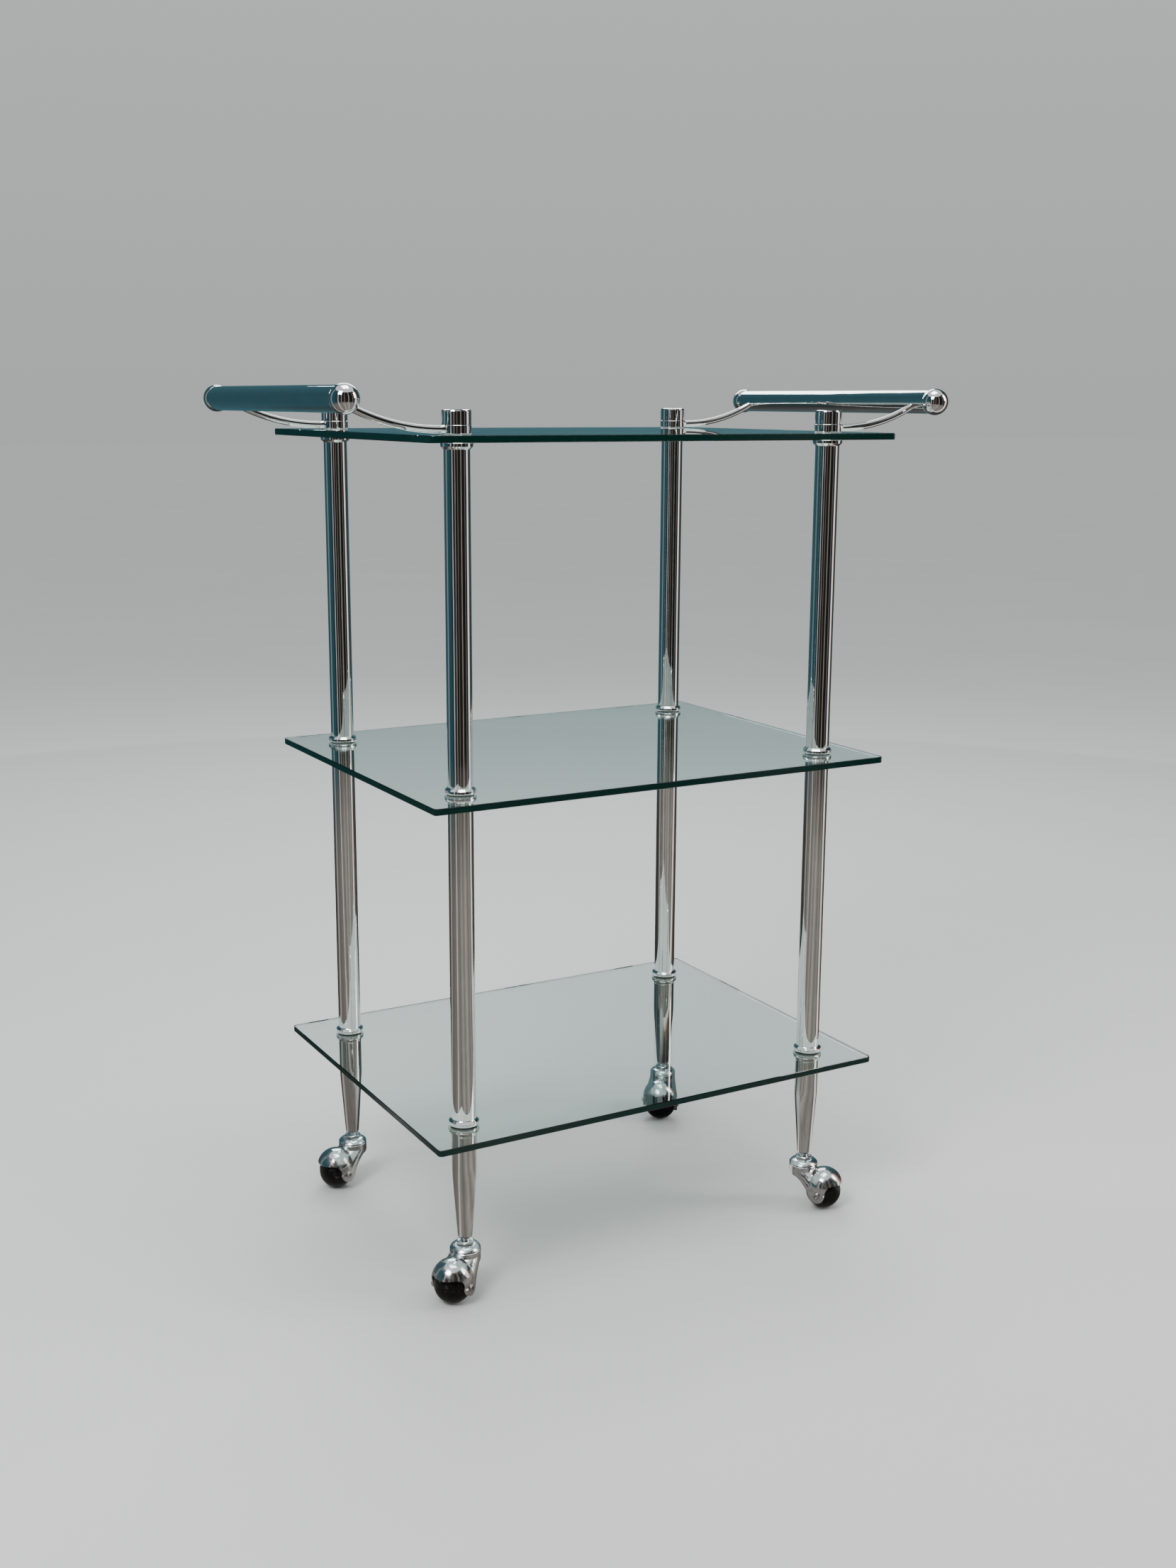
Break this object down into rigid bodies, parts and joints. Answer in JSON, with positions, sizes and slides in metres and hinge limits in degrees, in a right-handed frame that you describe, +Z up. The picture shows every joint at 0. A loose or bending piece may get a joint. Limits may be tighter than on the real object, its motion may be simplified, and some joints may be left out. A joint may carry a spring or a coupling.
{
  "type": "spa trolley cart",
  "caption": "Wheeled glass-shelf trolley: clear shelves on chrome tube legs, a push bar at each end and hooded swivel ball casters.",
  "frame": {"origin": "on the floor under the middle of the trolley", "axes": "+Z up, +X along the shelves to the right-hand push bar, +Y to the back"},
  "size_m": [0.619, 0.36, 0.8092],
  "materials": {
    "glass": "polished clear float glass, green edge",
    "chrome": "mirror chrome",
    "foot_chrome": "mirror chrome",
    "hood": "plated casting, bright satin",
    "zinc": "bright zinc plate",
    "steel": "plain steel",
    "ball": "matt black",
    "bush": "natural nylon",
    "washer": "clear soft plastic"
  },
  "bodies": {
    "root": {"bottom_rings_over": "chrome", "bottom_rings_under": "chrome", "bottom_shelf": "glass", "bottom_studs": "steel", "bottom_washers": "washer", "bracket_back_left": "chrome", "bracket_back_right": "chrome", "bracket_front_left": "chrome", "bracket_front_right": "chrome", "cap_nuts": "chrome", "caster_covers": "zinc", "caster_stem_back_left": "zinc", "caster_stem_back_right": "zinc", "caster_stem_front_left": "zinc", "caster_stem_front_right": "zinc", "foot_back_left": "foot_chrome", "foot_back_right": "foot_chrome", "foot_front_left": "foot_chrome", "foot_front_right": "foot_chrome", "handle_bar_left": "chrome", "handle_bar_right": "chrome", "knob_back_left": "chrome", "knob_back_right": "chrome", "knob_front_left": "chrome", "knob_front_right": "chrome", "lower_tube_back_left": "chrome", "lower_tube_back_right": "chrome", "lower_tube_front_left": "chrome", "lower_tube_front_right": "chrome", "lower_tube_plugs": "steel", "middle_rings_over": "chrome", "middle_rings_under": "chrome", "middle_shelf": "glass", "middle_studs": "steel", "middle_washers": "washer", "top_rings_under": "chrome", "top_shelf": "glass", "top_studs": "steel", "top_washers": "washer", "upper_tube_back_left": "chrome", "upper_tube_back_right": "chrome", "upper_tube_front_left": "chrome", "upper_tube_front_right": "chrome", "upper_tube_plugs": "steel"},
    "caster_front_left": {"caster_hood_front_left": "hood", "caster_axle_front_left": "steel"},
    "caster_front_right": {"caster_hood_front_right": "hood", "caster_axle_front_right": "steel"},
    "caster_back_left": {"caster_hood_back_left": "hood", "caster_axle_back_left": "steel"},
    "caster_back_right": {"caster_hood_back_right": "hood", "caster_axle_back_right": "steel"},
    "wheel_front_left": {"caster_ball_front_left": "ball", "caster_bush_front_left": "bush"},
    "wheel_front_right": {"caster_ball_front_right": "ball", "caster_bush_front_right": "bush"},
    "wheel_back_left": {"caster_ball_back_left": "ball", "caster_bush_back_left": "bush"},
    "wheel_back_right": {"caster_ball_back_right": "ball", "caster_bush_back_right": "bush"}
  },
  "joints": [
    {"name": "swivel_front_left", "type": "hinge", "parent": "root", "child": "caster_front_left", "pos_m": [-0.19, -0.135, 0.04], "axis": [0, 0, 1], "continuous": true},
    {"name": "roll_front_left", "type": "hinge", "parent": "caster_front_left", "child": "wheel_front_left", "pos_m": [-0.20849, -0.14747, 0.0175], "axis": [0.5592, -0.829, 0], "continuous": true},
    {"name": "swivel_front_right", "type": "hinge", "parent": "root", "child": "caster_front_right", "pos_m": [0.19, -0.135, 0.04], "axis": [0, 0, 1], "continuous": true},
    {"name": "roll_front_right", "type": "hinge", "parent": "caster_front_right", "child": "wheel_front_right", "pos_m": [0.20182, -0.15391, 0.0175], "axis": [0.848, 0.5299, 0], "continuous": true},
    {"name": "swivel_back_left", "type": "hinge", "parent": "root", "child": "caster_back_left", "pos_m": [-0.19, 0.135, 0.04], "axis": [0, 0, 1], "continuous": true},
    {"name": "roll_back_left", "type": "hinge", "parent": "caster_back_left", "child": "wheel_back_left", "pos_m": [-0.21109, 0.12774, 0.0175], "axis": [0.3256, -0.9455, 0], "continuous": true},
    {"name": "swivel_back_right", "type": "hinge", "parent": "root", "child": "caster_back_right", "pos_m": [0.19, 0.135, 0.04], "axis": [0, 0, 1], "continuous": true},
    {"name": "roll_back_right", "type": "hinge", "parent": "caster_back_right", "child": "wheel_back_right", "pos_m": [0.17627, 0.11743, 0.0175], "axis": [0.788, -0.6157, 0], "continuous": true}
  ]
}
